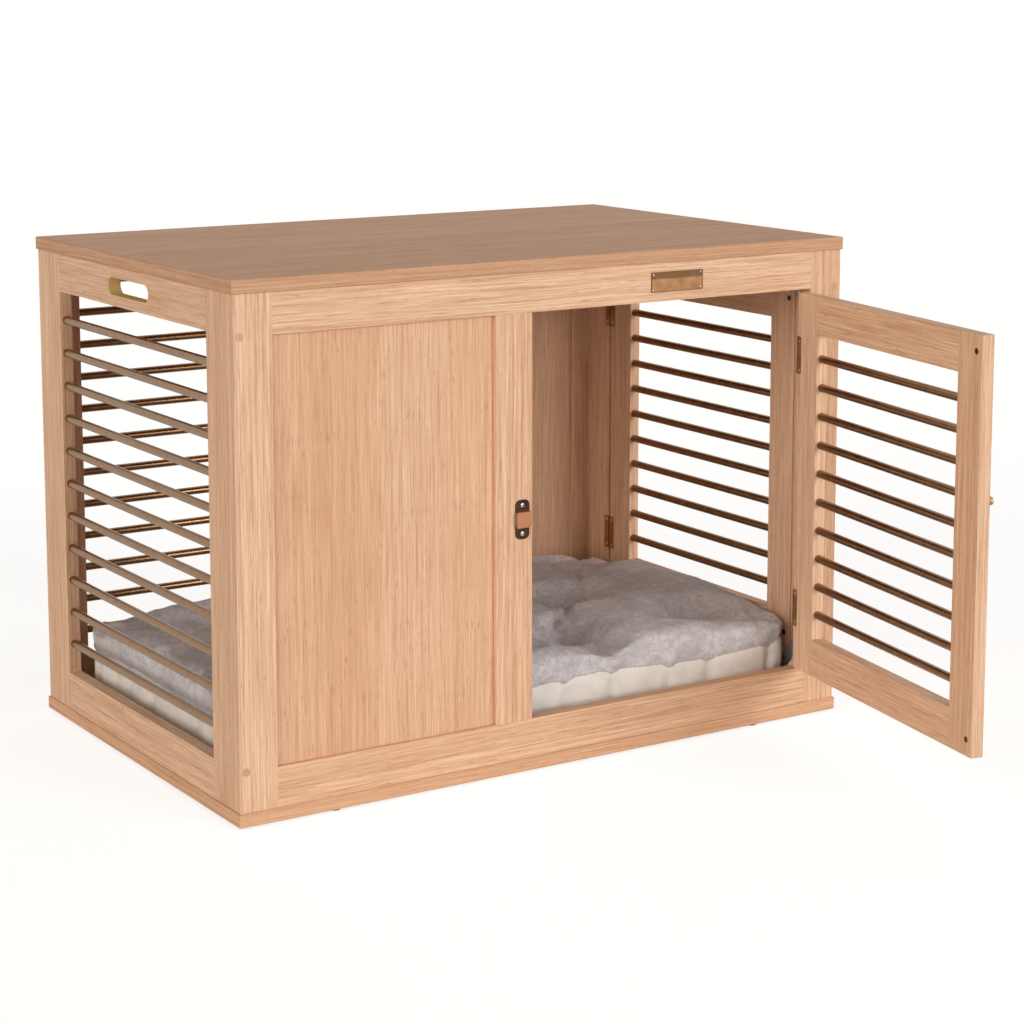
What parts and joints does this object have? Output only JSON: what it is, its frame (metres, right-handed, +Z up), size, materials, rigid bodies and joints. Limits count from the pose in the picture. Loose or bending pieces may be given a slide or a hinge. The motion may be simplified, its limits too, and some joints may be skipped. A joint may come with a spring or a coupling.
{
  "type": "dog crate end table",
  "caption": "Framed wooden pet crate that doubles as an end table, with a flat top, rod grilles, two hinged rod doors with slide bolts, hand holes and a cushion.",
  "frame": {"origin": "the middle of the base's footprint, on the floor, at the underside of the central glide", "axes": "+Z up through the table top, the front with the name plate faces -Y, the side door faces +X"},
  "size_m": [0.9975, 1.1001, 0.708],
  "materials": {
    "oak": "satin lacquered oak veneer",
    "rod_metal": "satin bronze lacquer on steel rod",
    "bronze": "aged bronze, satin",
    "steel": "zinc plated steel",
    "stop_steel": "grey satin paint",
    "cap_plastic": "matt brown plastic",
    "foot_plastic": "matt black plastic",
    "cushion_fabric": "soft grey plush"
  },
  "bodies": {
    "cabinet": {"base_board": "oak", "table_top": "oak", "floor_glides": "foot_plastic", "front_left_stile": "oak", "front_right_stile": "oak", "front_middle_stile": "oak", "front_bottom_rail": "oak", "front_top_rail": "oak", "front_panel": "oak", "back_left_stile": "oak", "back_right_stile": "oak", "back_middle_stile": "oak", "back_bottom_rail": "oak", "back_top_rail": "oak", "back_panel": "oak", "back_rods": "rod_metal", "left_back_stile": "oak", "left_front_stile": "oak", "left_bottom_rail": "oak", "left_top_rail": "oak", "left_rods": "rod_metal", "right_front_stile": "oak", "right_back_stile": "oak", "right_bottom_rail": "oak", "right_top_rail": "oak", "front_hinge_frame_leaves": "bronze", "side_hinge_frame_leaves": "bronze", "front_hinge_pins": "bronze", "side_hinge_pins": "bronze", "front_keeper": "bronze", "side_keeper": "bronze", "front_door_stops": "stop_steel", "side_door_stops": "stop_steel", "name_plate": "bronze", "frame_screws": "steel", "screw_caps": "cap_plastic", "cam_locks": "steel", "cam_bolts": "steel", "base_screws": "steel", "cushion": "cushion_fabric"},
    "front_door": {"front_door_latch_stile": "oak", "front_door_hinge_stile": "oak", "front_door_bottom_rail": "oak", "front_door_top_rail": "oak", "front_door_rods": "rod_metal", "front_hinge_door_leaves": "bronze", "front_bolt_guide": "bronze", "front_door_knob": "bronze"},
    "side_door": {"side_door_latch_stile": "oak", "side_door_hinge_stile": "oak", "side_door_bottom_rail": "oak", "side_door_top_rail": "oak", "side_door_rods": "rod_metal", "side_hinge_door_leaves": "bronze", "side_bolt_guide": "bronze", "side_door_knob": "bronze"},
    "front_bolt": {"front_bolt": "bronze"},
    "side_bolt": {"side_bolt": "bronze"}
  },
  "joints": [
    {"name": "front_door_hinge", "type": "hinge", "parent": "cabinet", "child": "front_door", "pos_m": [0.4315, -0.3183, 0.356], "axis": [0, 0, 1], "range_deg": [-80, 100]},
    {"name": "side_door_hinge", "type": "hinge", "parent": "cabinet", "child": "side_door", "pos_m": [0.4908, 0.237, 0.356], "axis": [0, 0, 1], "range_deg": [0, 180]},
    {"name": "front_bolt_slide", "type": "slide", "parent": "front_door", "child": "front_bolt", "axis": [-0.1736, -0.9848, 0], "range_m": [0, 0.025]},
    {"name": "side_bolt_slide", "type": "slide", "parent": "side_door", "child": "side_bolt", "axis": [0, -1, 0], "range_m": [0, 0.025]}
  ]
}
